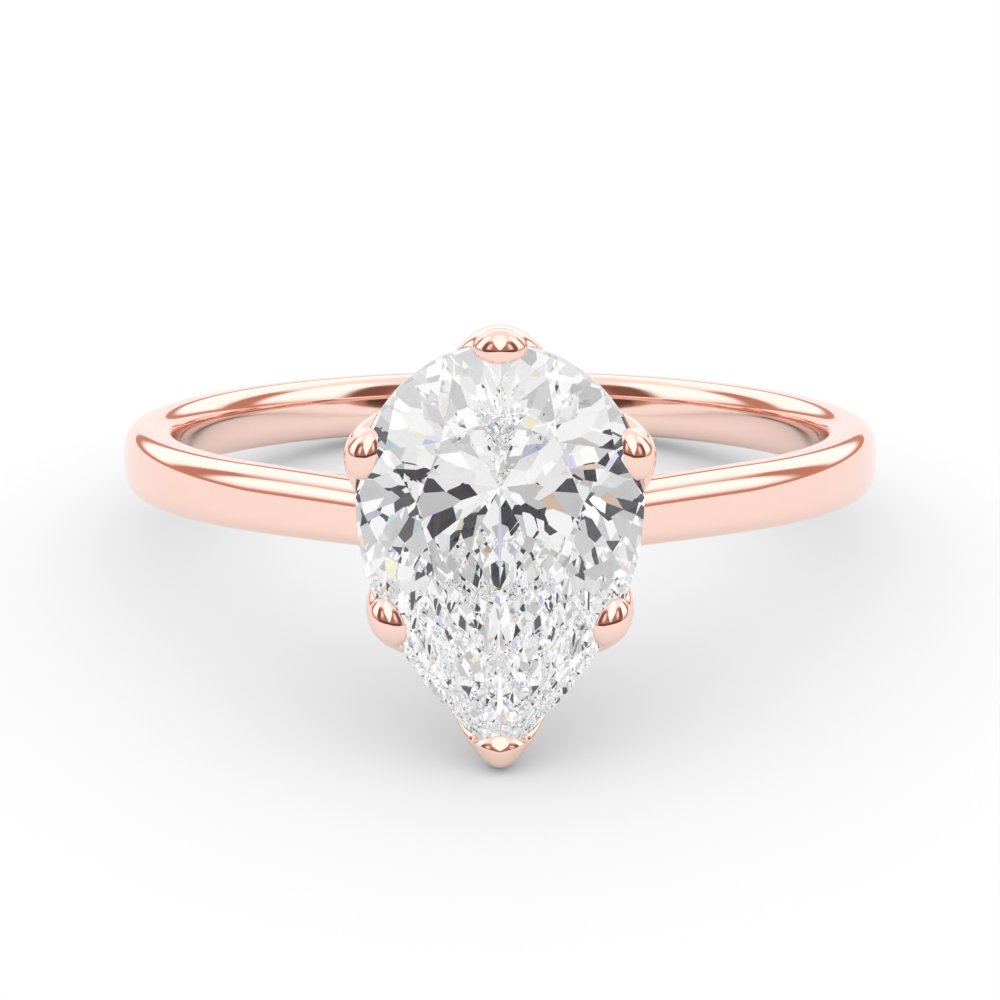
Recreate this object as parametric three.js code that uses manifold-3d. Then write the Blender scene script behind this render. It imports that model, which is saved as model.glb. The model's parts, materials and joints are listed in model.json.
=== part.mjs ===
// A solitaire ring with a pear-cut stone held by six petal prongs, lying on its side.
//
// Design frame, in millimetres: the finger passes along Z through the origin, the stone looks
// towards -Y, and X runs across. "Height" means distance from the finger's axis towards the stone.
// The finished ring is then turned about X so that it rests on its point prong and on the back of
// its shank, with the origin on the resting surface under the middle of its box.

import * as THREE from 'three';
import { mergeVertices } from 'three/addons/utils/BufferGeometryUtils.js';
import Module from 'manifold-3d';

const wasm = await Module();
wasm.setup();
const { degToRad, lerp, smoothstep } = THREE.MathUtils;

// Solder gap left between two pieces that seat on each other.
const CLEARANCE = 0.02;

// Shank: a rounded-rectangle section swept round the finger.
const FINGER_RADIUS = 8.25;
const SHANK_THICKNESS = 1.29;
const SHANK_THICKENING = 0.2;
const SHANK_WIDTH = 1.62;
const SECTION_POWER = 3.2;

// Shoulders: within this distance of the middle plane the shank rises off the finger and narrows.
const SHOULDER_REACH = 6.1;
const SHOULDER_RISE_INSIDE = 2.2;
const SHOULDER_RISE_OUTSIDE = 3.2;
const SHOULDER_NARROWING = 0.3;
const NARROWING_POWER = 1.5;
const ARM_END = 1.2;

// Bridge under the head, which carries the finger circle between the shoulders.
const BRIDGE_REACH = 5.9;
const BRIDGE_THICKNESS = 0.7;
const BRIDGE_END_THICKNESS = 0.3;
const BRIDGE_WIDTH = 1.4;
const BRIDGE_POWER = 4.8;

// Stone: half an ellipse at its round end and two flanks that meet in a point.
const STONE_WIDTH = 6.6;
const STONE_ROUND_LENGTH = 3.53;
const STONE_POINT_LENGTH = 6.1;
const FLANK_POWER = 2.15;
const STONE_OFFSET = 0.95;
const GIRDLE_THICKNESS = 0.25;
const CROWN_HEIGHT = 0.9;
const PAVILION_DEPTH = 2.85;
const CULET_OFFSET = 0.1;
const CULET_GAP = 0.135;
const MAIN_FACETS = 8;
const TABLE_RATIO = 0.57;
const STAR_RATIO = 0.52;

// Pavilion tiers from the girdle down: how many facets, the share of a step that they are turned by,
// and where a facet starts and ends, as shares of the way out from the culet and of the depth.
const TIERS = [
  { count: 32, turned: 0.5, ends: [[1, 0], [0.88, 0.141]] },
  { count: 24, turned: 0, ends: [[0.88, 0.141], [0.62, 0.409]] },
  { count: 24, turned: 0.5, ends: [[0.62, 0.409], [0.33, 0.693]] },
  { count: 16, turned: 0, ends: [[0.33, 0.693], [0, 1]] },
];

// Head base: a peg in the bridge and a flared oval cup with a recess for the pavilion.
const PEG_RADIUS = 0.4;
const PEG_RECESS = 0.1;
const CUP_FOOT_RADIUS = 0.8;
const CUP_HEIGHT = 1.13;
const CUP_RIM_X = 2.1;
const CUP_RIM_Z = 2.45;
const CUP_RIM_OFFSET = 0.35;
const CUP_WALL = 0.5;
const CUP_FLOOR = 0.22;
const RECESS_RADIUS = 0.35;
const RECESS_OFFSET = 0.9;
const FLARE_POWER = 0.75;

// Petal prongs: a stem leans out from the cup's rim to wings under the girdle, a shoulder narrows to
// the claw's base, and the claw is a dome over the crown. Heights are from the girdle's middle, and a
// curve is how far the outside falls back one millimetre from its middle.
const PETAL_REACH = 0.42;
const PETAL_WIDTH = 2.3;
const PETAL_THICKNESS = 0.42;
const PETAL_CURVE = 0.5;
const PETAL_HOLLOW = 0.7;
const PETAL_FOOT_WIDTH = 0.9;
const PETAL_FOOT_CURVE = 0.24;
const WING_HEIGHT = -0.2;
const CLAW_WIDTH = 1.24;
const CLAW_REACH = 0.55;
const CLAW_SETBACK = 0.04;
const CLAW_BASE = 0.12;
const CLAW_TOP = 0.5;
const CLAW_ROUNDING = 0.3;
const SLICE_POWER = 2.6;
const POINT_REACH = 0.28;
const POINT_CURVE = 1.0;
const POINT_CLAW_REACH = 0.64;
const UPPER_PRONG_ANGLE = degToRad(17);
const LOWER_PRONG_SHARE = 0.48;

// Steps of the swept and lofted surfaces.
const SHANK_STATIONS = 80;
const SHANK_SIDES = 20;
const BRIDGE_STATIONS = 22;
const CUP_SIDES = 32;
const FLARE_STEPS = 5;
const STEM_STEPS = 7;
const SHOULDER_STEPS = 4;
const DOME_STEPS = 6;
const DOME_STOP = 0.98;
const PETAL_SIDES = 20;
const GIRDLE_SIDES = 80;

const BRIDGE_TOP = FINGER_RADIUS + BRIDGE_THICKNESS;
const CUP_BOTTOM = BRIDGE_TOP + CLEARANCE;
const CUP_RIM = CUP_BOTTOM + CUP_HEIGHT;
const CULET = CUP_BOTTOM + CUP_FLOOR + CULET_GAP;
const GIRDLE = CULET + PAVILION_DEPTH + GIRDLE_THICKNESS / 2;

// A point given by its place across the ring, along the finger, and its height towards the stone.
function headPoint(x, z, height) {
  return new THREE.Vector3(x, -height, z);
}

function signedPower(value, power) {
  return Math.sign(value) * Math.abs(value) ** power;
}

// Corner number i of a rounded rectangle that fills the square from -1 to 1.
function roundedCorner(i, count, power) {
  const turn = (2 * Math.PI * i) / count;
  return [signedPower(Math.cos(turn), 2 / power), signedPower(Math.sin(turn), 2 / power)];
}

// ---- solids -------------------------------------------------------------------------------------

function toSolid(geometry) {
  const bare = geometry.clone();
  bare.deleteAttribute('normal');
  bare.deleteAttribute('uv');
  const merged = mergeVertices(bare, 1e-5);
  const mesh = new wasm.Mesh({
    numProp: 3,
    vertProperties: new Float32Array(merged.attributes.position.array),
    triVerts: new Uint32Array(merged.index.array),
  });
  return new wasm.Manifold(mesh);
}

function toGeometry(solid) {
  const mesh = solid.getMesh();
  const geometry = new THREE.BufferGeometry();
  geometry.setAttribute('position', new THREE.BufferAttribute(mesh.vertProperties, 3));
  geometry.setIndex(new THREE.BufferAttribute(mesh.triVerts, 1));
  return geometry;
}

// Joins rings of points into one closed body with a fan over each end.
function loft(rings) {
  const sides = rings[0].length;
  const points = rings.flat();
  const index = [];
  for (let r = 0; r + 1 < rings.length; r += 1) {
    for (let i = 0; i < sides; i += 1) {
      const a = r * sides + i;
      const b = r * sides + ((i + 1) % sides);
      index.push(a, b, b + sides, a, b + sides, a + sides);
    }
  }
  const last = (rings.length - 1) * sides;
  for (let i = 0; i < sides; i += 1) {
    const next = (i + 1) % sides;
    index.push(points.length, next, i);
    index.push(points.length + 1, last + i, last + next);
  }
  points.push(middle(rings[0]), middle(rings[rings.length - 1]));
  const geometry = new THREE.BufferGeometry().setFromPoints(points);
  geometry.setIndex(signedVolume(points, index) < 0 ? index.reverse() : index);
  return geometry;
}

function middle(ring) {
  const sum = new THREE.Vector3();
  ring.forEach((point) => sum.add(point));
  return sum.divideScalar(ring.length);
}

function signedVolume(points, index) {
  const cross = new THREE.Vector3();
  let volume = 0;
  for (let i = 0; i < index.length; i += 3) {
    cross.crossVectors(points[index[i + 1]], points[index[i + 2]]);
    volume += points[index[i]].dot(cross) / 6;
  }
  return volume;
}

// ---- shank --------------------------------------------------------------------------------------

// How far into the shoulder a place is: 0 where it starts, 1 at the middle plane.
function shoulderShare(x, y) {
  return y < 0 ? Math.max(0, 1 - Math.abs(x) / SHOULDER_REACH) : 0;
}

// Section of the shank at an angle measured round the finger from the middle of the head.
function shankRing(angle) {
  const thickness = SHANK_THICKNESS + SHANK_THICKENING * Math.cos(angle);
  const middleX = Math.sin(angle) * (FINGER_RADIUS + thickness / 2);
  const share = shoulderShare(middleX, -Math.cos(angle));
  const narrowing = SHOULDER_NARROWING * share ** NARROWING_POWER;
  const ring = [];
  for (let i = 0; i < SHANK_SIDES; i += 1) {
    const [across, along] = roundedCorner(i, SHANK_SIDES, SECTION_POWER);
    const outward = (across + 1) / 2;
    const radius = FINGER_RADIUS + thickness * outward;
    const x = radius * Math.sin(angle);
    const y = -radius * Math.cos(angle);
    const rise = lerp(SHOULDER_RISE_INSIDE, SHOULDER_RISE_OUTSIDE, outward);
    const lift = rise * shoulderShare(x, y) ** 2;
    ring.push(new THREE.Vector3(x, y - lift, (along * (SHANK_WIDTH - narrowing)) / 2));
  }
  return ring;
}

function shankSweep() {
  const start = Math.asin(ARM_END / FINGER_RADIUS);
  const rings = [];
  for (let i = 0; i <= SHANK_STATIONS; i += 1) {
    rings.push(shankRing(lerp(start, 2 * Math.PI - start, i / SHANK_STATIONS)));
  }
  return loft(rings);
}

// ---- bridge -------------------------------------------------------------------------------------

// The bar under the head. Grown by the clearance and made wider, it also cuts its own seat.
function bridgeSweep(width, grow) {
  const end = Math.asin((BRIDGE_REACH + grow) / FINGER_RADIUS);
  const rings = [];
  for (let i = 0; i <= BRIDGE_STATIONS; i += 1) {
    const angle = lerp(-end, end, i / BRIDGE_STATIONS);
    const fullness = 1 - (angle / end) ** 2;
    const thickness = lerp(BRIDGE_END_THICKNESS, BRIDGE_THICKNESS, fullness);
    const inside = FINGER_RADIUS - grow;
    const ring = [];
    for (let k = 0; k < SHANK_SIDES; k += 1) {
      const [across, along] = roundedCorner(k, SHANK_SIDES, BRIDGE_POWER);
      const radius = inside + (thickness + 2 * grow) * ((across + 1) / 2);
      const height = radius * Math.cos(angle);
      ring.push(headPoint(radius * Math.sin(angle), (along * width) / 2, height));
    }
    rings.push(ring);
  }
  return loft(rings);
}

// ---- head base ----------------------------------------------------------------------------------

function ovalRing(halfX, halfZ, offset, height) {
  const ring = [];
  for (let i = 0; i < CUP_SIDES; i += 1) {
    const turn = (2 * Math.PI * i) / CUP_SIDES;
    ring.push(headPoint(halfX * Math.cos(turn), offset + halfZ * Math.sin(turn), height));
  }
  return ring;
}

// Peg and outside of the cup, as rings from the finger side up to the rim.
function cupOutside(grow) {
  const rings = [
    ovalRing(PEG_RADIUS + grow, PEG_RADIUS + grow, 0, FINGER_RADIUS + PEG_RECESS - grow),
    ovalRing(PEG_RADIUS + grow, PEG_RADIUS + grow, 0, CUP_BOTTOM - grow),
  ];
  for (let i = 0; i <= FLARE_STEPS; i += 1) {
    const share = i / FLARE_STEPS;
    const flare = share ** FLARE_POWER;
    const halfX = lerp(CUP_FOOT_RADIUS, CUP_RIM_X, flare) + grow;
    const halfZ = lerp(CUP_FOOT_RADIUS, CUP_RIM_Z, flare) + grow;
    const height = lerp(CUP_BOTTOM, CUP_RIM, share) - grow;
    rings.push(ovalRing(halfX, halfZ, CUP_RIM_OFFSET * flare, height));
  }
  return rings;
}

// The space that the shoulders leave free: the cup with its clearance, and all that is above it.
function headCutter() {
  const halfX = CUP_RIM_X + CLEARANCE;
  const halfZ = CUP_RIM_Z + CLEARANCE;
  return loft([...cupOutside(CLEARANCE), ovalRing(halfX, halfZ, CUP_RIM_OFFSET, GIRDLE)]);
}

function headBase() {
  const recess = [
    ovalRing(CUP_RIM_X - CUP_WALL, CUP_RIM_Z - CUP_WALL, CUP_RIM_OFFSET, CUP_RIM),
    ovalRing(RECESS_RADIUS, RECESS_RADIUS, RECESS_OFFSET, CUP_BOTTOM + CUP_FLOOR),
  ];
  const cup = toSolid(loft([...cupOutside(0), ...recess]));
  return toGeometry(cup.subtract(stoneSolid(CLEARANCE)));
}

// ---- stone --------------------------------------------------------------------------------------

// Girdle outline, seen from the front: share 0 is the round end, 1 the point, 2 the round end again.
function girdlePoint(share, grow) {
  const half = STONE_WIDTH / 2 + grow;
  const side = share <= 1 ? 1 : -1;
  const along = share <= 1 ? share : 2 - share;
  if (along < 0.5) {
    const turn = Math.PI * along;
    return new THREE.Vector2(side * half * Math.sin(turn), (STONE_ROUND_LENGTH + grow) * Math.cos(turn));
  }
  const down = 2 * along - 1;
  return new THREE.Vector2(side * half * (1 - down ** FLANK_POWER), -(STONE_POINT_LENGTH + grow) * down);
}

// A ring of the girdle outline at one height, grown by a clearance.
function girdleRing(height, grow) {
  const ring = [];
  for (let i = 0; i < GIRDLE_SIDES; i += 1) {
    ring.push(onGirdle((2 * i) / GIRDLE_SIDES, height, grow));
  }
  return ring;
}

function onGirdle(share, height, grow = 0) {
  const point = girdlePoint(share, grow);
  return headPoint(point.x, STONE_OFFSET + point.y, height);
}

function girdleTangent(share) {
  const step = 1e-3;
  const ahead = girdlePoint(share + step, 0);
  return ahead.sub(girdlePoint((share - step + 2) % 2, 0)).normalize();
}

// Where three facets meet.
function meetingPoint(a, b, c) {
  const point = new THREE.Vector3().crossVectors(b.normal, c.normal);
  const scale = -1 / a.normal.dot(point);
  point.multiplyScalar(a.constant);
  point.addScaledVector(new THREE.Vector3().crossVectors(c.normal, a.normal), b.constant);
  point.addScaledVector(new THREE.Vector3().crossVectors(a.normal, b.normal), c.constant);
  return point.multiplyScalar(scale);
}

// The plane through three corners.
function facet(...corners) {
  return new THREE.Plane().setFromCoplanarPoints(...corners);
}

// The plane through two points of a profile that keeps to the girdle's direction at a share.
function facetAlong(start, end, share) {
  const tangent = girdleTangent(share);
  return facet(start, end, start.clone().add(headPoint(tangent.x, tangent.y, 0)));
}

// Eight main facets run from the girdle to the table's corners. On the ridge between two mains, two
// halves come up from the girdle and a star comes down from the table.
function crownFacets(girdleTop, table) {
  const step = 2 / MAIN_FACETS;
  const tableCorner = (k) => {
    const point = girdlePoint((k * step) % 2, 0).multiplyScalar(TABLE_RATIO);
    return headPoint(point.x, STONE_OFFSET + point.y, table);
  };
  const mains = Array.from({ length: MAIN_FACETS }, (_, k) => {
    return facetAlong(onGirdle(k * step, girdleTop), tableCorner(k), k * step);
  });
  const ridgeLevel = new THREE.Plane(new THREE.Vector3(0, -1, 0), STAR_RATIO * CROWN_HEIGHT - table);
  const betweens = mains.flatMap((main, k) => {
    const ridge = meetingPoint(main, mains[(k + 1) % MAIN_FACETS], ridgeLevel);
    const [first, between, second] = [0, 0.5, 1].map((part) => onGirdle(((k + part) * step) % 2, girdleTop));
    return [
      facet(ridge, first, between),
      facet(ridge, between, second),
      facet(ridge, tableCorner(k), tableCorner(k + 1)),
    ];
  });
  return [...mains, ...betweens];
}

function pavilionFacets(girdleBottom) {
  const tip = headPoint(0, STONE_OFFSET + CULET_OFFSET, girdleBottom);
  return TIERS.flatMap(({ count, turned, ends }) => Array.from({ length: count }, (_, k) => {
    const share = ((2 * (k + turned)) / count) % 2;
    const edge = onGirdle(share, girdleBottom);
    const [start, end] = ends.map(([way, depth]) => {
      return tip.clone().lerp(edge, way).add(headPoint(0, 0, -depth * PAVILION_DEPTH));
    });
    return facetAlong(start, end, share);
  }));
}

// The stone, or the stone grown on all sides by a clearance.
function stoneSolid(grow) {
  const girdleTop = GIRDLE + GIRDLE_THICKNESS / 2;
  const girdleBottom = GIRDLE - GIRDLE_THICKNESS / 2;
  const table = girdleTop + CROWN_HEIGHT;
  const rough = loft([girdleRing(CULET - grow, grow), girdleRing(table + grow, grow)]);
  const inside = headPoint(0, STONE_OFFSET, GIRDLE);
  return [...crownFacets(girdleTop, table), ...pavilionFacets(girdleBottom)].reduce((solid, plane) => {
    if (plane.distanceToPoint(inside) < 0) {
      plane.negate();
    }
    return solid.trimByPlane(plane.normal.toArray(), -plane.constant - grow);
  }, toSolid(rough));
}

// ---- petal prongs -------------------------------------------------------------------------------

// Where a petal stands, seen from the front: its place on the girdle, its place on the cup's rim and
// the way it looks out.
function petalStand(share) {
  const edge = girdlePoint(share, 0);
  edge.y += STONE_OFFSET;
  const tangent = girdleTangent(share);
  const rimMiddle = new THREE.Vector2(0, CUP_RIM_OFFSET);
  const toEdge = edge.clone().sub(rimMiddle).normalize();
  const rimReach = 1 / Math.hypot(toEdge.x / CUP_RIM_X, toEdge.y / CUP_RIM_Z);
  const foot = rimMiddle.addScaledVector(toEdge, rimReach);
  return { edge, foot, outward: new THREE.Vector2(-tangent.y, tangent.x) };
}

function blend(a, b, share) {
  return Object.fromEntries(Object.keys(a).map((key) => [key, lerp(a[key], b[key], share)]));
}

// Level slices of a petal from its foot to the top of its claw. Each has its outermost point, half
// its width, its depth towards the stone, the curves of its two sides, and how far it has shrunk.
function petalSlices({ edge, foot, outward }, { reach, curve, clawReach }) {
  const past = (distance) => edge.clone().addScaledVector(outward, distance);
  const [wingPlace, clawPlace] = [past(reach), past(reach - CLAW_SETBACK)];
  const footHeight = CUP_RIM + CLEARANCE;
  const wingHeight = GIRDLE + WING_HEIGHT;
  const depth = PETAL_THICKNESS * Math.hypot(1, wingPlace.distanceTo(foot) / (wingHeight - footHeight));
  const bottom = {
    x: foot.x, z: foot.y, height: footHeight, half: PETAL_FOOT_WIDTH / 2, depth,
    curve: PETAL_FOOT_CURVE, hollow: -PETAL_FOOT_CURVE, size: 1,
  };
  const wings = {
    x: wingPlace.x, z: wingPlace.y, height: wingHeight, half: PETAL_WIDTH / 2, depth,
    curve, hollow: -curve * PETAL_HOLLOW, size: 1,
  };
  const claw = {
    x: clawPlace.x, z: clawPlace.y, height: GIRDLE + CLAW_BASE, half: CLAW_WIDTH / 2,
    depth: reach - CLAW_SETBACK + clawReach, curve, hollow: CLAW_ROUNDING, size: 1,
  };
  const slices = [];
  for (let i = 0; i < STEM_STEPS; i += 1) {
    const share = i / STEM_STEPS;
    const height = lerp(bottom.height, wings.height, share);
    slices.push({ ...blend(bottom, wings, Math.sin((share * Math.PI) / 2)), height });
  }
  for (let i = 0; i < SHOULDER_STEPS; i += 1) {
    const share = i / SHOULDER_STEPS;
    const height = lerp(wings.height, claw.height, share);
    slices.push({ ...blend(wings, claw, smoothstep(share, 0, 1)), height });
  }
  for (let i = 0; i <= DOME_STEPS; i += 1) {
    const turn = (Math.PI / 2) * DOME_STOP * (i / DOME_STEPS);
    const height = claw.height + (CLAW_TOP - CLAW_BASE) * Math.sin(turn);
    slices.push({ ...claw, height, size: Math.cos(turn) });
  }
  return slices;
}

function petalRing(slice, outward, grow) {
  const ring = [];
  for (let k = 0; k < PETAL_SIDES; k += 1) {
    const [wide, deep] = roundedCorner(k, PETAL_SIDES, SLICE_POWER);
    const square = (slice.half * wide) ** 2;
    const outside = -slice.curve * square;
    const inside = slice.hollow * square - slice.depth;
    const place = lerp(inside, outside, (deep + 1) / 2);
    const across = slice.half * wide * slice.size + grow * wide;
    const out = lerp(-slice.depth / 2, place, slice.size) + grow * deep;
    const x = slice.x + outward.y * across + outward.x * out;
    const z = slice.z - outward.x * across + outward.y * out;
    ring.push(headPoint(x, z, slice.height));
  }
  return ring;
}

function petalLoft({ share, ...sizes }, grow) {
  const stand = petalStand(share);
  return loft(petalSlices(stand, sizes).map((slice) => petalRing(slice, stand.outward, grow)));
}

// ---- assembly -----------------------------------------------------------------------------------

const UPPER_SHARE = 0.5 - UPPER_PRONG_ANGLE / Math.PI;
const LOWER_SHARE = 0.5 + LOWER_PRONG_SHARE / 2;
const SIDE_SIZES = { reach: PETAL_REACH, curve: PETAL_CURVE, clawReach: CLAW_REACH };
const POINT_SIZES = { reach: POINT_REACH, curve: POINT_CURVE, clawReach: POINT_CLAW_REACH };
const PRONGS = {
  prong_top: { share: 0, ...SIDE_SIZES },
  prong_upper_left: { share: 2 - UPPER_SHARE, ...SIDE_SIZES },
  prong_upper_right: { share: UPPER_SHARE, ...SIDE_SIZES },
  prong_lower_left: { share: 2 - LOWER_SHARE, ...SIDE_SIZES },
  prong_lower_right: { share: LOWER_SHARE, ...SIDE_SIZES },
  prong_point: { share: 1, ...POINT_SIZES },
};

function roseGold() {
  return new THREE.MeshStandardMaterial({ color: 0xf2b8a0, roughness: 0.12, metalness: 1 });
}

function diamond() {
  return new THREE.MeshStandardMaterial({ color: 0xf4f6f8, roughness: 0.02, metalness: 0 });
}

function piece(name, geometry, material) {
  const mesh = new THREE.Mesh(geometry, material);
  mesh.name = name;
  return mesh;
}

// The band less the room that its neighbours take, each grown by the clearance.
function shank() {
  const petals = Object.values(PRONGS).map((sizes) => petalLoft(sizes, CLEARANCE));
  const rooms = [bridgeSweep(SHANK_WIDTH * 2, CLEARANCE), headCutter(), ...petals].map(toSolid);
  const band = [...rooms, stoneSolid(CLEARANCE)].reduce((solid, room) => {
    return solid.subtract(room);
  }, toSolid(shankSweep()));
  return toGeometry(band);
}

function bridge() {
  const pegHole = loft(cupOutside(CLEARANCE).slice(0, 2).map((ring, i) => ring.map((point) => {
    return point.clone().setY(i ? -BRIDGE_TOP - 1 : 1 - FINGER_RADIUS);
  })));
  return toGeometry(toSolid(bridgeSweep(BRIDGE_WIDTH, 0)).subtract(toSolid(pegHole)));
}

function prong(sizes) {
  return toGeometry(toSolid(petalLoft(sizes, 0)).subtract(stoneSolid(CLEARANCE)));
}

const ring = new THREE.Group();
ring.add(piece('shank', shank(), roseGold()));
ring.add(piece('under_bridge', bridge(), roseGold()));
ring.add(piece('head_base', headBase(), roseGold()));
ring.add(piece('stone', toGeometry(stoneSolid(0)), diamond()));
Object.entries(PRONGS).forEach(([name, sizes]) => ring.add(piece(name, prong(sizes), roseGold())));

// The turn about X at which the head and the back of the shank touch one level surface.
function restTurn(group) {
  const points = group.children.flatMap((mesh) => {
    const corners = mesh.geometry.attributes.position;
    return Array.from({ length: corners.count }, (_, i) => {
      return new THREE.Vector3().fromBufferAttribute(corners, i);
    });
  });
  const lowest = (turn, side) => {
    const heights = points.filter((point) => point.y * side > 0);
    return Math.min(...heights.map((point) => point.z * Math.cos(turn) + point.y * Math.sin(turn)));
  };
  let low = -Math.PI / 4;
  let high = Math.PI / 4;
  for (let i = 0; i < 40; i += 1) {
    const turn = (low + high) / 2;
    if (lowest(turn, 1) < lowest(turn, -1)) {
      low = turn;
    } else {
      high = turn;
    }
  }
  return low;
}

ring.rotation.x = restTurn(ring);
const assembly = new THREE.Group();
assembly.add(ring);
const box = new THREE.Box3().setFromObject(assembly, true);
const centre = box.getCenter(new THREE.Vector3());
ring.position.set(-centre.x, -centre.y, -box.min.z);

export default assembly;
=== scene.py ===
"""Looks of a rose-gold solitaire ring with a pear-cut stone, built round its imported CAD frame.

Shapes are worked out in the ring's own frame, in millimetres: X across, Z along the finger, and
"height" from the finger's axis towards the stone, which looks to -Y. PLACE turns and scales them
into the resting position that the record's finger_hole mount gives.
"""

import json
import math

import bmesh
import bpy
from mathutils import Matrix, Vector


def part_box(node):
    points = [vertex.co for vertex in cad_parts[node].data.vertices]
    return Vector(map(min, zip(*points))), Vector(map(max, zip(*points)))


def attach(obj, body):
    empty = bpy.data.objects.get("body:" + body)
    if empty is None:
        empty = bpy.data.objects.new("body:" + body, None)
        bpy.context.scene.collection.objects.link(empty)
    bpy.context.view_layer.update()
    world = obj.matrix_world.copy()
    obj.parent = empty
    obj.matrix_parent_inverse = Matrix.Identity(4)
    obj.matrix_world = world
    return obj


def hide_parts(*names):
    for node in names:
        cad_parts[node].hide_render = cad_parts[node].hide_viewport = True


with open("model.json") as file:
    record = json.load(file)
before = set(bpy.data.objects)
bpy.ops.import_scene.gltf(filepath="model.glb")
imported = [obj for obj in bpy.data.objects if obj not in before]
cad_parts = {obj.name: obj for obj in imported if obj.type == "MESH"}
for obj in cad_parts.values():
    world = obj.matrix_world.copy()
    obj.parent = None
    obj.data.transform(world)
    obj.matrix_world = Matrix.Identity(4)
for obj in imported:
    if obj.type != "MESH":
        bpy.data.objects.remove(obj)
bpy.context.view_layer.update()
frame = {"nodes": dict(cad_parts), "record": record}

MM = 0.001
CLEARANCE = 0.02
# Smooth surfaces bulge past flat-sided ones of the same size, so all are drawn in by a share of their
# size, and the petals' outsides by a length as well.
DRAWN_IN = 0.0006
PETAL_DRAWN_IN = 0.016

# Shank, as in the CAD part.
FINGER_RADIUS = 8.25
SHANK_THICKNESS = 1.29
SHANK_THICKENING = 0.2
SHANK_WIDTH = 1.62
SECTION_POWER = 3.2
SHOULDER_REACH = 6.1
SHOULDER_RISE_INSIDE = 2.2
SHOULDER_RISE_OUTSIDE = 3.2
SHOULDER_NARROWING = 0.3
NARROWING_POWER = 1.5
ARM_END = 1.2

# Bridge under the head.
BRIDGE_REACH = 5.9
BRIDGE_THICKNESS = 0.7
BRIDGE_END_THICKNESS = 0.3
BRIDGE_WIDTH = 1.4
BRIDGE_POWER = 4.8

# Stone.
STONE_WIDTH = 6.6
STONE_ROUND_LENGTH = 3.53
STONE_POINT_LENGTH = 6.1
FLANK_POWER = 2.15
STONE_OFFSET = 0.95
GIRDLE_THICKNESS = 0.25
PAVILION_DEPTH = 2.85
CULET_GAP = 0.135

# Head base.
PEG_RADIUS = 0.4
PEG_RECESS = 0.1
CUP_FOOT_RADIUS = 0.8
CUP_HEIGHT = 1.13
CUP_RIM_X = 2.1
CUP_RIM_Z = 2.45
CUP_RIM_OFFSET = 0.35
CUP_WALL = 0.5
CUP_FLOOR = 0.22
RECESS_RADIUS = 0.35
RECESS_OFFSET = 0.9
FLARE_POWER = 0.75

# Petal prongs: a stem leans out from the cup's rim to wings under the girdle, a shoulder narrows to
# the claw's base, and the claw is a dome over the crown. Heights are from the girdle's middle.
PETAL_REACH = 0.42
PETAL_WIDTH = 2.3
PETAL_THICKNESS = 0.42
PETAL_CURVE = 0.5
PETAL_HOLLOW = 0.7
PETAL_FOOT_WIDTH = 0.9
PETAL_FOOT_CURVE = 0.24
WING_HEIGHT = -0.2
CLAW_WIDTH = 1.24
CLAW_REACH = 0.55
CLAW_SETBACK = 0.04
CLAW_BASE = 0.12
CLAW_TOP = 0.5
CLAW_ROUNDING = 0.3
SLICE_POWER = 2.6
POINT_REACH = 0.28
POINT_CURVE = 1.0
POINT_CLAW_REACH = 0.64
UPPER_PRONG_ANGLE = math.radians(17)
LOWER_PRONG_SHARE = 0.48

# Fineness of the visual meshes. Edges that turn by more than EDGE_ANGLE stay sharp, and corners
# closer than SAME_POINT, in metres, are one. A hole's cutter sticks out by HOLE_OVERSHOOT.
SHANK_STATIONS = 420
SHANK_SIDES = 96
BRIDGE_STATIONS = 120
CUP_SIDES = 128
FLARE_STEPS = 24
STEM_STEPS = 40
SHOULDER_STEPS = 24
DOME_STEPS = 32
DOME_STOP = 0.98
PETAL_SIDES = 120
EDGE_ANGLE = math.radians(35)
SAME_POINT = 1e-7
HOLE_OVERSHOOT = 1

BRIDGE_TOP = FINGER_RADIUS + BRIDGE_THICKNESS
CUP_BOTTOM = BRIDGE_TOP + CLEARANCE
CUP_RIM = CUP_BOTTOM + CUP_HEIGHT
CULET = CUP_BOTTOM + CUP_FLOOR + CULET_GAP
GIRDLE = CULET + PAVILION_DEPTH + GIRDLE_THICKNESS / 2


# ---- frame --------------------------------------------------------------------------------------

def ring_to_row():
    """Matrix from the ring's own frame, in millimetres, to the row frame, in metres."""
    hole = next(m for m in frame["record"]["mounts"] if m["name"] == "finger_hole")
    finger = Vector(hole["axis"])
    turn = Matrix.Rotation(math.atan2(-finger.y, finger.z), 4, "X")
    return Matrix.Translation(Vector(hole["pos_m"])) @ turn @ Matrix.Scale(MM * (1 - DRAWN_IN), 4)


PLACE = ring_to_row()


def head_point(x, z, height):
    """Point at a height from the finger's axis towards the stone."""
    return Vector((x, -height, z))


def lerp(a, b, share):
    return a + (b - a) * share


def shares(count):
    """Shares from 0 to 1 in this many steps."""
    return [i / count for i in range(count + 1)]


# ---- mesh helpers -------------------------------------------------------------------------------

def signed_power(value, power):
    return math.copysign(abs(value) ** power, value)


def rounded_corner(i, count, power):
    """Corner i of a rounded rectangle that fills the square from -1 to 1."""
    turn = 2 * math.pi * i / count
    return signed_power(math.cos(turn), 2 / power), signed_power(math.sin(turn), 2 / power)


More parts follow.
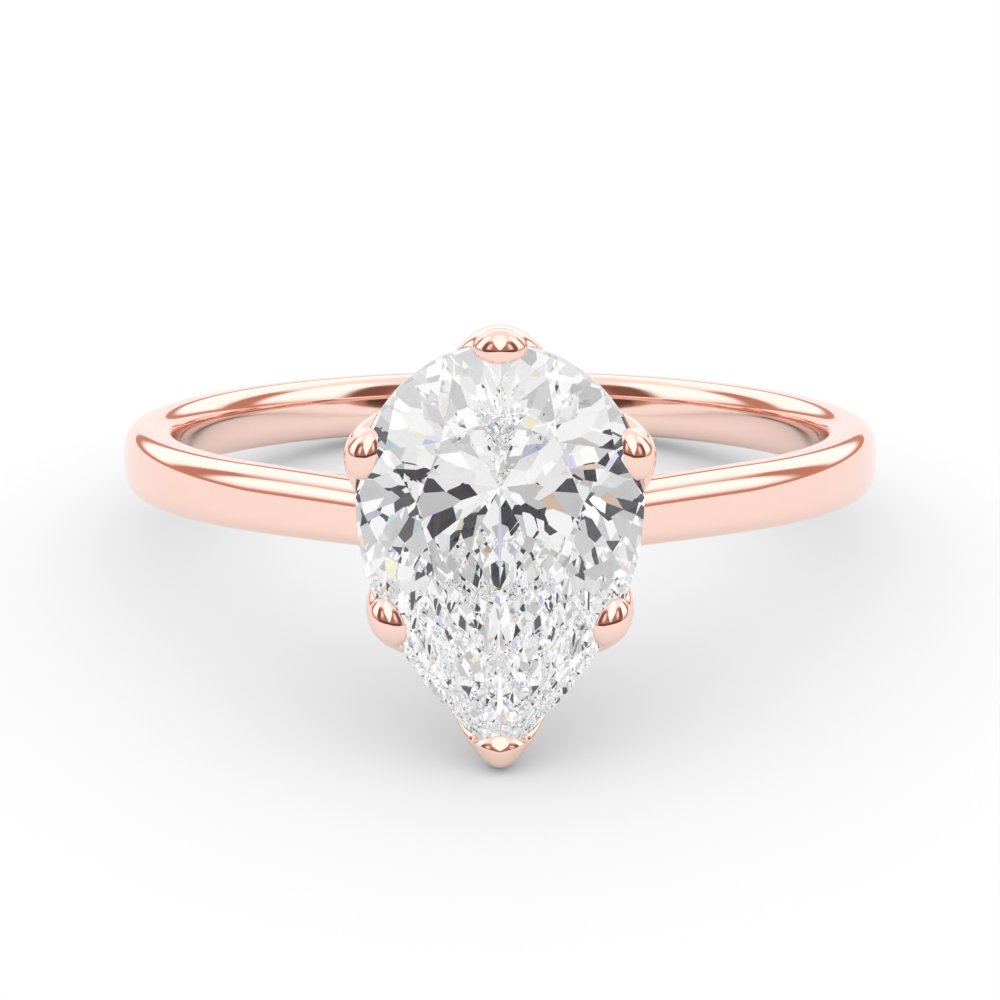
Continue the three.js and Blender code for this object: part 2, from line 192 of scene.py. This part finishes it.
def loft(name, rings):
    """One closed mesh through rings of points in the ring's frame, with a fan over each end."""
    sides = len(rings[0])
    points = [PLACE @ p for ring in rings for p in ring]
    faces = []
    for r in range(len(rings) - 1):
        for i in range(sides):
            a, b = r * sides + i, r * sides + (i + 1) % sides
            faces.append((a, b, b + sides, a + sides))
    for ring_start, order in ((0, -1), ((len(rings) - 1) * sides, 1)):
        centre = len(points)
        ring = points[ring_start:ring_start + sides]
        points.append(sum(ring, Vector()) / sides)
        for i in range(sides):
            edge = (ring_start + i, ring_start + (i + 1) % sides)[::order]
            faces.append((centre, *edge))
    mesh = bpy.data.meshes.new(name)
    mesh.from_pydata(points, [], faces)
    if signed_volume(mesh) < 0:
        mesh.flip_normals()
    piece = bpy.data.objects.new(name, mesh)
    bpy.context.collection.objects.link(piece)
    return piece


def signed_volume(mesh):
    mesh.calc_loop_triangles()
    corners = [[mesh.vertices[v].co for v in t.vertices] for t in mesh.loop_triangles]
    return sum(a.dot(b.cross(c)) for a, b, c in corners) / 6


def cut(piece, *cutters):
    """Takes the cutters' shapes out of the piece and removes the cutters."""
    for cutter in cutters:
        step = piece.modifiers.new("cut", "BOOLEAN")
        step.operation = "DIFFERENCE"
        step.solver = "MANIFOLD"
        step.object = cutter
    solid = piece.evaluated_get(bpy.context.evaluated_depsgraph_get())
    mesh = bpy.data.meshes.new_from_object(solid)
    piece.modifiers.clear()
    piece.data = mesh
    for cutter in cutters:
        bpy.data.objects.remove(cutter)


def finish_metal(piece, *nodes):
    """Smooth shading up to true edges, the metal, and its place in the frame."""
    piece.data.materials.clear()
    piece.data.materials.append(ROSE_GOLD)
    piece.data.shade_smooth()
    piece.data.set_sharp_from_angle(angle=EDGE_ANGLE)
    piece.visible_transmission = False
    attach(piece, "root")
    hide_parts(*nodes)


# ---- materials ----------------------------------------------------------------------------------

def grey(level):
    """A neutral colour."""
    return (level, level, level, 1)


GOLD_TINTS = ((0.945, 0.668, 0.583, 1), (0.955, 0.688, 0.606, 1))
GOLD_ROUGHNESS = (0.035, 0.075)
DRIFT_SCALE = 220
MARKS_SCALE = 5200
# Matt surfaces round the metal take its light without its colour, as in a white room.
GOLD_FOR_MATT = grey(0.45)
DIAMOND_INDEX = 2.417
DIAMOND_SHEEN = grey(0.35)
CLARITY = (grey(0.96), grey(1.0))
CLOUD_SCALE = 900
FLOOR_SHADE = grey(0.93)
# A noise lies mostly between these two, so tints are spread over them.
NOISE_LOW, NOISE_HIGH = 0.3, 0.7


def new_material(name):
    material = bpy.data.materials.new(name)
    material.use_nodes = True
    nodes = material.node_tree.nodes
    nodes.clear()
    output = nodes.new("ShaderNodeOutputMaterial")
    shader = nodes.new("ShaderNodeBsdfPrincipled")
    material.node_tree.links.new(shader.outputs["BSDF"], output.inputs["Surface"])
    return material, nodes, material.node_tree.links, shader


def noise(nodes, links, scale, detail):
    """Noise fixed to the piece."""
    place = nodes.new("ShaderNodeTexCoord")
    node = nodes.new("ShaderNodeTexNoise")
    node.inputs["Scale"].default_value = scale
    node.inputs["Detail"].default_value = detail
    links.new(place.outputs["Object"], node.inputs["Vector"])
    return node.outputs["Fac"]


def tinted(nodes, links, value, tints):
    """Colour that goes from one tint to the other with a noise."""
    node = nodes.new("ShaderNodeValToRGB")
    for element, position, tint in zip(node.color_ramp.elements, (NOISE_LOW, NOISE_HIGH), tints):
        element.position, element.color = position, tint
    links.new(value, node.inputs["Fac"])
    return node.outputs["Color"]


def rose_gold():
    """Polished rose gold: faint hand-polishing marks in its gloss and a trace of colour drift."""
    material, nodes, links, shader = new_material("rose_gold_polished")
    shader.inputs["Metallic"].default_value = 1.0
    path = nodes.new("ShaderNodeLightPath")
    blanch = nodes.new("ShaderNodeMix")
    blanch.data_type = "RGBA"
    links.new(path.outputs["Is Diffuse Ray"], blanch.inputs[0])
    links.new(tinted(nodes, links, noise(nodes, links, DRIFT_SCALE, 3), GOLD_TINTS), blanch.inputs[6])
    blanch.inputs[7].default_value = GOLD_FOR_MATT
    links.new(blanch.outputs[2], shader.inputs["Base Color"])
    marks = nodes.new("ShaderNodeMapRange")
    marks.inputs["To Min"].default_value, marks.inputs["To Max"].default_value = GOLD_ROUGHNESS
    links.new(noise(nodes, links, MARKS_SCALE, 4), marks.inputs["Value"])
    links.new(marks.outputs["Result"], shader.inputs["Roughness"])
    return material


def diamond():
    """Cut diamond: clear glass of diamond's index, with faint clouds in its clarity."""
    material, nodes, links, shader = new_material("diamond_cut")
    shader.inputs["Transmission Weight"].default_value = 1.0
    shader.inputs["IOR"].default_value = DIAMOND_INDEX
    shader.inputs["Roughness"].default_value = 0.0
    shader.inputs["Specular Tint"].default_value = DIAMOND_SHEEN
    clouds = noise(nodes, links, CLOUD_SCALE, 3)
    links.new(tinted(nodes, links, clouds, CLARITY), shader.inputs["Base Color"])
    return material


def floor_material():
    """Matt pale card."""
    material, _, _, shader = new_material("pale_floor")
    shader.inputs["Base Color"].default_value = FLOOR_SHADE
    shader.inputs["Roughness"].default_value = 0.6
    shader.inputs["Specular IOR Level"].default_value = 0.0
    return material


ROSE_GOLD = rose_gold()
DIAMOND = diamond()


# ---- shank --------------------------------------------------------------------------------------

def shoulder_share(x, y):
    """How far towards the head a point on the shoulders is: 0 at their start, 1 at the middle."""
    return max(0.0, 1 - abs(x) / SHOULDER_REACH) if y < 0 else 0.0


def shank_ring(angle):
    """Section of the shank at an angle measured round the finger from the middle of the head."""
    thickness = SHANK_THICKNESS + SHANK_THICKENING * math.cos(angle)
    middle_x = math.sin(angle) * (FINGER_RADIUS + thickness / 2)
    narrowing = SHOULDER_NARROWING * shoulder_share(middle_x, -math.cos(angle)) ** NARROWING_POWER
    ring = []
    for i in range(SHANK_SIDES):
        across, along = rounded_corner(i, SHANK_SIDES, SECTION_POWER)
        outward = (across + 1) / 2
        radius = FINGER_RADIUS + thickness * outward
        x, y = radius * math.sin(angle), -radius * math.cos(angle)
        rise = lerp(SHOULDER_RISE_INSIDE, SHOULDER_RISE_OUTSIDE, outward)
        lift = rise * shoulder_share(x, y) ** 2
        ring.append(Vector((x, y - lift, along * (SHANK_WIDTH - narrowing) / 2)))
    return ring


def make_shank():
    start = math.asin(ARM_END / FINGER_RADIUS)
    angles = [lerp(start, 2 * math.pi - start, share) for share in shares(SHANK_STATIONS)]
    shank = loft("band", [shank_ring(a) for a in angles])
    seat = loft("seat", bridge_rings(SHANK_WIDTH * 2, CLEARANCE))
    half_x, half_z = CUP_RIM_X + CLEARANCE, CUP_RIM_Z + CLEARANCE
    above = oval_ring(half_x, half_z, CUP_RIM_OFFSET, GIRDLE)
    room = loft("room", [*cup_outside(CLEARANCE), above])
    petals = [petal_loft("petal_room_" + name, *one, CLEARANCE) for name, one in PRONGS.items()]
    cut(shank, seat, room, *petals)
    finish_metal(shank, "shank")


def bridge_rings(width, grow):
    """Sections of the bridge across the finger circle, for the bridge itself or for its seat."""
    end = math.asin((BRIDGE_REACH + grow) / FINGER_RADIUS)
    rings = []
    for share in shares(BRIDGE_STATIONS):
        angle = lerp(-end, end, share)
        fullness = 1 - (angle / end) ** 2
        thickness = lerp(BRIDGE_END_THICKNESS, BRIDGE_THICKNESS, fullness)
        ring = []
        for k in range(SHANK_SIDES):
            across, along = rounded_corner(k, SHANK_SIDES, BRIDGE_POWER)
            radius = FINGER_RADIUS - grow + (thickness + 2 * grow) * (across + 1) / 2
            x, height = radius * math.sin(angle), radius * math.cos(angle)
            ring.append(head_point(x, along * width / 2, height))
        rings.append(ring)
    return rings


def make_bridge():
    bridge = loft("bridge", bridge_rings(BRIDGE_WIDTH, 0))
    radius = PEG_RADIUS + CLEARANCE
    ends = (FINGER_RADIUS - HOLE_OVERSHOOT, BRIDGE_TOP + HOLE_OVERSHOOT)
    cut(bridge, loft("peg_hole", [oval_ring(radius, radius, 0, end) for end in ends]))
    finish_metal(bridge, "under_bridge")


# ---- head base ----------------------------------------------------------------------------------

def oval_ring(half_x, half_z, offset, height):
    """Level oval round the head's axis, set off towards the round end."""
    turns = [2 * math.pi * i / CUP_SIDES for i in range(CUP_SIDES)]
    return [head_point(half_x * math.cos(t), offset + half_z * math.sin(t), height) for t in turns]


def cup_outside(grow):
    """Peg and cup from below, grown on all sides, up to the rim."""
    peg = PEG_RADIUS + grow
    rings = [
        oval_ring(peg, peg, 0, FINGER_RADIUS + PEG_RECESS - grow),
        oval_ring(peg, peg, 0, CUP_BOTTOM - grow),
    ]
    for share in shares(FLARE_STEPS):
        flare = share ** FLARE_POWER
        half_x = lerp(CUP_FOOT_RADIUS, CUP_RIM_X, flare) + grow
        half_z = lerp(CUP_FOOT_RADIUS, CUP_RIM_Z, flare) + grow
        height = lerp(CUP_BOTTOM, CUP_RIM, share) - grow
        rings.append(oval_ring(half_x, half_z, CUP_RIM_OFFSET * flare, height))
    return rings


def make_head_base():
    recess = [
        oval_ring(CUP_RIM_X - CUP_WALL, CUP_RIM_Z - CUP_WALL, CUP_RIM_OFFSET, CUP_RIM),
        oval_ring(RECESS_RADIUS, RECESS_RADIUS, RECESS_OFFSET, CUP_BOTTOM + CUP_FLOOR),
    ]
    finish_metal(loft("cup", [*cup_outside(0), *recess]), "head_base")


# ---- petal prongs -------------------------------------------------------------------------------

def girdle_point(share):
    """Girdle outline from the front: share 0 is the round end, 1 the point, 2 the round end again."""
    half = STONE_WIDTH / 2
    side, along = (1, share) if share <= 1 else (-1, 2 - share)
    if along < 0.5:
        turn = math.pi * along
        return Vector((side * half * math.sin(turn), STONE_ROUND_LENGTH * math.cos(turn)))
    down = 2 * along - 1
    return Vector((side * half * (1 - down ** FLANK_POWER), -STONE_POINT_LENGTH * down))


def girdle_tangent(share):
    step = 1e-3
    return (girdle_point(share + step) - girdle_point((share - step) % 2)).normalized()


def petal_stand(share):
    """Where a petal stands: its place on the girdle, on the cup's rim, and the way it looks out."""
    edge = girdle_point(share) + Vector((0, STONE_OFFSET))
    tangent = girdle_tangent(share)
    rim_middle = Vector((0, CUP_RIM_OFFSET))
    to_edge = (edge - rim_middle).normalized()
    rim_reach = 1 / math.hypot(to_edge.x / CUP_RIM_X, to_edge.y / CUP_RIM_Z)
    return edge, rim_middle + to_edge * rim_reach, Vector((-tangent.y, tangent.x))


def blend(a, b, share):
    return {key: lerp(a[key], b[key], share) for key in a}


def petal_slices(edge, foot, outward, reach, curve, claw_reach):
    """Level slices of a petal, from its foot to the top of its claw."""
    wing_place = edge + outward * (reach - PETAL_DRAWN_IN)
    claw_place = edge + outward * (reach - PETAL_DRAWN_IN - CLAW_SETBACK)
    foot_height, wing_height = CUP_RIM + CLEARANCE, GIRDLE + WING_HEIGHT
    depth = PETAL_THICKNESS * math.hypot(1, (wing_place - foot).length / (wing_height - foot_height))
    bottom = {
        "x": foot.x, "z": foot.y, "height": foot_height, "half": PETAL_FOOT_WIDTH / 2,
        "depth": depth, "curve": PETAL_FOOT_CURVE, "hollow": -PETAL_FOOT_CURVE, "size": 1,
    }
    wings = {
        "x": wing_place.x, "z": wing_place.y, "height": wing_height, "half": PETAL_WIDTH / 2,
        "depth": depth, "curve": curve, "hollow": -curve * PETAL_HOLLOW, "size": 1,
    }
    claw = {
        "x": claw_place.x, "z": claw_place.y, "height": GIRDLE + CLAW_BASE, "half": CLAW_WIDTH / 2,
        "depth": reach - CLAW_SETBACK + claw_reach, "curve": curve, "hollow": CLAW_ROUNDING,
        "size": 1,
    }
    slices = []
    for i in range(STEM_STEPS):
        share = i / STEM_STEPS
        height = lerp(bottom["height"], wings["height"], share)
        slices.append({**blend(bottom, wings, math.sin(share * math.pi / 2)), "height": height})
    for i in range(SHOULDER_STEPS):
        share = i / SHOULDER_STEPS
        height = lerp(wings["height"], claw["height"], share)
        slices.append({**blend(wings, claw, share * share * (3 - 2 * share)), "height": height})
    for i in range(DOME_STEPS + 1):
        turn = math.pi / 2 * DOME_STOP * i / DOME_STEPS
        height = claw["height"] + (CLAW_TOP - CLAW_BASE) * math.sin(turn)
        slices.append({**claw, "height": height, "size": math.cos(turn)})
    return slices


def petal_ring(cut_at, outward, grow):
    """Points round one slice, grown on all sides."""
    ring = []
    for k in range(PETAL_SIDES):
        wide, deep = rounded_corner(k, PETAL_SIDES, SLICE_POWER)
        square = (cut_at["half"] * wide) ** 2
        outside = -cut_at["curve"] * square
        inside = cut_at["hollow"] * square - cut_at["depth"]
        across = cut_at["half"] * wide * cut_at["size"] + grow * wide
        place = lerp(inside, outside, (deep + 1) / 2)
        out = lerp(-cut_at["depth"] / 2, place, cut_at["size"]) + grow * deep
        x = cut_at["x"] + outward.y * across + outward.x * out
        z = cut_at["z"] - outward.x * across + outward.y * out
        ring.append(head_point(x, z, cut_at["height"]))
    return ring


def petal_loft(name, share, sizes, grow=0):
    edge, foot, outward = petal_stand(share)
    slices = petal_slices(edge, foot, outward, *sizes)
    return loft(name, [petal_ring(one, outward, grow) for one in slices])


def stone_cutter():
    """The stone grown by the clearance."""
    stone = frame["nodes"]["stone"]
    cutter = bpy.data.objects.new("stone_cutter", stone.data.copy())
    bpy.context.collection.objects.link(cutter)
    low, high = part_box("stone")
    middle = (Vector(low) + Vector(high)) / 2
    grown = Matrix.Scale(1 + 2 * CLEARANCE * MM / (high[0] - low[0]), 4)
    cutter.data.transform(Matrix.Translation(middle) @ grown @ Matrix.Translation(-middle))
    weld(cutter.data)
    return cutter


def weld(mesh):
    """Joins the corners that a CAD node's triangles share."""
    work = bmesh.new()
    work.from_mesh(mesh)
    bmesh.ops.remove_doubles(work, verts=work.verts, dist=SAME_POINT)
    work.to_mesh(mesh)
    work.free()


LOWER_SHARE = 0.5 + LOWER_PRONG_SHARE / 2
UPPER_SHARE = 0.5 - UPPER_PRONG_ANGLE / math.pi
SIDE_SIZES = (PETAL_REACH, PETAL_CURVE, CLAW_REACH)
# Each prong's place on the girdle, and its reach, its curve and its claw's reach.
PRONGS = {
    "top": (0, SIDE_SIZES),
    "upper_left": (2 - UPPER_SHARE, SIDE_SIZES),
    "upper_right": (UPPER_SHARE, SIDE_SIZES),
    "lower_left": (2 - LOWER_SHARE, SIDE_SIZES),
    "lower_right": (LOWER_SHARE, SIDE_SIZES),
    "point": (1, (POINT_REACH, POINT_CURVE, POINT_CLAW_REACH)),
}


def make_prongs():
    for name, (share, sizes) in PRONGS.items():
        petal = petal_loft("petal_" + name, share, sizes)
        cut(petal, stone_cutter())
        finish_metal(petal, "prong_" + name)


# ---- stone --------------------------------------------------------------------------------------

def dress_stone():
    """The CAD stone keeps its true flat facets and takes the diamond."""
    stone = frame["nodes"]["stone"]
    for slot in stone.material_slots:
        slot.material = DIAMOND
    stone.visible_shadow = False


# ---- camera, floor and light --------------------------------------------------------------------

# The camera stands this far from the ring's middle, in millimetres, at this rise from the head's axis
# and with this drop of its view, in radians. The floor's half width is in metres.
CAMERA_DISTANCE = 119.9
CAMERA_RISE = 0.1596
CAMERA_DROP = -0.0102
FOCAL_RATIO = 4.7056
SENSOR_WIDTH = 36
FLOOR_HALF = 0.6


def make_camera():
    rise, drop = CAMERA_RISE, CAMERA_DROP
    stand = Vector((0, -CAMERA_DISTANCE * math.cos(rise), CAMERA_DISTANCE * math.sin(rise)))
    look = Vector((0, math.cos(rise - drop), -math.sin(rise - drop)))
    turn = PLACE.to_quaternion()
    data = bpy.data.cameras.new("camera")
    camera = bpy.data.objects.new("camera", data)
    bpy.context.collection.objects.link(camera)
    camera.location = PLACE @ stand
    camera.rotation_mode = "QUATERNION"
    camera.rotation_quaternion = (turn @ look).to_track_quat("-Z", "Y")
    data.sensor_width = SENSOR_WIDTH
    data.lens = SENSOR_WIDTH * FOCAL_RATIO
    data.clip_start, data.clip_end = 0.01, 10
    bpy.context.scene.camera = camera


def make_floor():
    mesh = bpy.data.meshes.new("floor")
    half = FLOOR_HALF
    corners = [(-half, -half, 0), (half, -half, 0), (half, half, 0), (-half, half, 0)]
    mesh.from_pydata(corners, [], [(0, 1, 2, 3)])
    floor = bpy.data.objects.new("floor", mesh)
    floor.data.materials.append(floor_material())
    floor.visible_transmission = False
    bpy.context.collection.objects.link(floor)


class Sums:
    """Arithmetic on a node tree: every value is a socket or a plain number."""

    def __init__(self, tree):
        self.nodes, self.links = tree.nodes, tree.links

    def feed(self, socket, value):
        if isinstance(value, bpy.types.NodeSocket):
            self.links.new(value, socket)
        else:
            socket.default_value = value

    def calc(self, operation, *values):
        node = self.nodes.new("ShaderNodeMath")
        node.operation = operation
        for socket, value in zip(node.inputs, values):
            self.feed(socket, value)
        return node.outputs["Value"]

    def ramp(self, value, low, high):
        """0 below low, 1 above high and smooth between."""
        node = self.nodes.new("ShaderNodeMapRange")
        node.interpolation_type = "SMOOTHSTEP"
        self.feed(node.inputs["Value"], value)
        node.inputs["From Min"].default_value = low
        node.inputs["From Max"].default_value = high
        return node.outputs["Result"]

    def window(self, value, low, high, soft):
        """1 between low and high, 0 outside, with soft edges."""
        rise = self.ramp(value, low - soft, low + soft)
        fall = self.ramp(value, high - soft, high + soft)
        return self.calc("MULTIPLY", rise, self.calc("SUBTRACT", 1, fall))

    def cells(self, place, scale):
        """Random colour of each cell of a broken pattern, and the distance to the cell's middle."""
        node = self.nodes.new("ShaderNodeTexVoronoi")
        node.inputs["Scale"].default_value = scale
        self.links.new(place, node.inputs["Vector"])
        return node.outputs["Color"], node.outputs["Distance"]

    def channel(self, colour):
        """One of a colour's channels, as a number."""
        node = self.nodes.new("ShaderNodeSeparateColor")
        self.links.new(colour, node.inputs[0])
        return node.outputs[0]

    def steps(self, value, colours):
        """One of the colours, by where the value lies between 0 and 1."""
        node = self.nodes.new("ShaderNodeValToRGB")
        node.color_ramp.interpolation = "CONSTANT"
        while len(node.color_ramp.elements) < len(colours):
            node.color_ramp.elements.new(1)
        for i, (element, colour) in enumerate(zip(node.color_ramp.elements, colours)):
            element.position = i / len(colours)
            element.color = (*colour, 1)
        self.links.new(value, node.inputs["Fac"])
        return node.outputs["Color"]

    def mix(self, share, a, b):
        """Colour a where the share is 0 and b where it is 1."""
        node = self.nodes.new("ShaderNodeMix")
        node.data_type = "RGBA"
        for socket, value in zip((node.inputs[0], node.inputs[6], node.inputs[7]), (share, a, b)):
            self.feed(socket, value)
        return node.outputs[2]


GOLD_ON_GOLD = (1, 0.5, 0.37)


def rosy(level):
    """Dim light as it comes back from gold that mirrors gold."""
    return (*(level * channel for channel in GOLD_ON_GOLD), 1)


# Studio, as panels of light seen from the ring: their colour, then the lowest and highest azimuth
# from the front on both sides, the lowest and highest elevation, and the softness, in degrees.
PANELS = [
    (rosy(0.45), 0, 58, -8, 46, 6),
    (rosy(0.22), 42, 60, 6, 40, 5),
    (grey(1.15), 27, 38, 13, 34, 6),
    (rosy(0.1), 0, 50, 0, 6, 2),
    (grey(1.45), 63, 100, 10, 58, 5),
    (rosy(0.55), 102, 123, -4, 38, 5),
    (grey(1.4), 127, 190, 5, 50, 6),
]
TOP_LIGHT = 1.05
# The overhead light narrows to a tip over the camera.
TIP_ELEVATION = 6
TIP_SPREAD = 0.8
TIP_SOFTNESS = 1
TIP_LIGHT = 1.4
# A dim band along the horizon, beside and behind the ring.
HORIZON_LIGHT = 0.6
HORIZON_HEIGHT = 5
HORIZON_START = 55
HORIZON_FADE = 10
# The floor and whatever else is matt see an even white room.
ROOM_LIGHT = 1.1
# The stone's room: its light, and the share and cell scale of the shades that break it up.
STONE_ROOM_LIGHT = 1.27
SHADE_SHARE = 0.6
SHADE_SCALE = 2.6
# The dark patch round the viewer: where it is, its reach in degrees, and the streaks that break it.
VIEWER_ELEVATION = math.radians(21.5)
VIEWER_PATCH = 34
VIEWER_SHARE = 0.42
VIEWER_SHADE = (0.04, 0.04, 0.05, 1)
STREAK_SCALE = 20
# Colours of the stone's flashes, one after another along a ramp.
FLASHES = [
    (0.25, 0.38, 0.75), (0.85, 0.78, 0.35), (0.72, 0.42, 0.22), (0.55, 0.45, 0.8), (0.3, 0.55, 0.6),
]
FLASH_SCALE = 11
FLASH_REACH = 0.24
FLASH_SHARE = 0.55


def stone_light(sums, way):
    """What the stone's facets look out at: a pale room with a dark patch round the viewer's place."""
    apart = sums.nodes.new("ShaderNodeVectorMath")
    apart.operation = "DOT_PRODUCT"
    sums.links.new(way, apart.inputs[0])
    apart.inputs[1].default_value = (0, -math.cos(VIEWER_ELEVATION), math.sin(VIEWER_ELEVATION))
    angle = sums.calc("DEGREES", sums.calc("ARCCOSINE", apart.outputs["Value"]))
    shades, _ = sums.cells(way, SHADE_SCALE)
    picks, reach = sums.cells(way, FLASH_SCALE)
    streaks, _ = sums.cells(way, STREAK_SCALE)
    room = sums.mix(SHADE_SHARE, grey(STONE_ROOM_LIGHT), sums.channel(shades))
    flash = sums.calc("MULTIPLY", sums.calc("LESS_THAN", reach, FLASH_REACH), FLASH_SHARE)
    light = sums.mix(flash, room, sums.steps(sums.channel(picks), FLASHES))
    near = sums.calc("LESS_THAN", angle, VIEWER_PATCH)
    dark = sums.calc("MULTIPLY", near, sums.calc("LESS_THAN", sums.channel(streaks), VIEWER_SHARE))
    return sums.mix(dark, light, VIEWER_SHADE)


def make_world():
    """A studio for the metal to mirror, a pale room for the stone and a white one for the rest."""
    world = bpy.data.worlds.new("studio")
    world.use_nodes = True
    bpy.context.scene.world = world
    sums = Sums(world.node_tree)
    way = sums.nodes.new("ShaderNodeTexCoord").outputs["Generated"]
    axes = sums.nodes.new("ShaderNodeSeparateXYZ")
    sums.links.new(way, axes.inputs[0])
    x, y, z = axes.outputs
    aside = sums.calc("ABSOLUTE", x)
    azimuth = sums.calc("DEGREES", sums.calc("ARCTAN2", aside, sums.calc("MULTIPLY", y, -1)))
    elevation = sums.calc("DEGREES", sums.calc("ARCSINE", z))
    light = grey(TOP_LIGHT)
    for colour, near, far, low, high, soft in PANELS:
        # A panel that starts at the front has no soft edge there.
        across = sums.window(azimuth, near or -soft, far, soft)
        up = sums.window(elevation, low, high, soft)
        light = sums.mix(sums.calc("MULTIPLY", across, up), light, colour)
    reach = sums.calc("MULTIPLY", sums.calc("SUBTRACT", elevation, TIP_ELEVATION), TIP_SPREAD)
    tip = sums.ramp(sums.calc("SUBTRACT", reach, azimuth), -TIP_SOFTNESS, TIP_SOFTNESS)
    light = sums.mix(tip, light, grey(TIP_LIGHT))
    level = sums.window(elevation, -HORIZON_HEIGHT, HORIZON_HEIGHT, HORIZON_HEIGHT / 2)
    behind = sums.ramp(azimuth, HORIZON_START, HORIZON_START + HORIZON_FADE)
    level = sums.calc("MULTIPLY", level, behind)
    light = sums.mix(level, light, rosy(HORIZON_LIGHT))
    path = sums.nodes.new("ShaderNodeLightPath")
    mirrored = sums.calc("GREATER_THAN", path.outputs["Is Glossy Ray"], path.outputs["Diffuse Depth"])
    seen = sums.mix(mirrored, grey(ROOM_LIGHT), light)
    through = path.outputs["Is Transmission Ray"]
    background = sums.nodes["Background"]
    sums.feed(background.inputs["Color"], sums.mix(through, seen, stone_light(sums, way)))
    background.inputs["Strength"].default_value = 1.0


make_camera()
make_floor()
make_world()
make_shank()
make_bridge()
make_head_base()
dress_stone()
make_prongs()

# Light is thrown to and fro in the stone many times.
BOUNCES = 48

scene = bpy.context.scene
scene.view_settings.view_transform = "Standard"
scene.cycles.max_bounces = BOUNCES
scene.cycles.transmission_bounces = BOUNCES
scene.cycles.glossy_bounces = BOUNCES
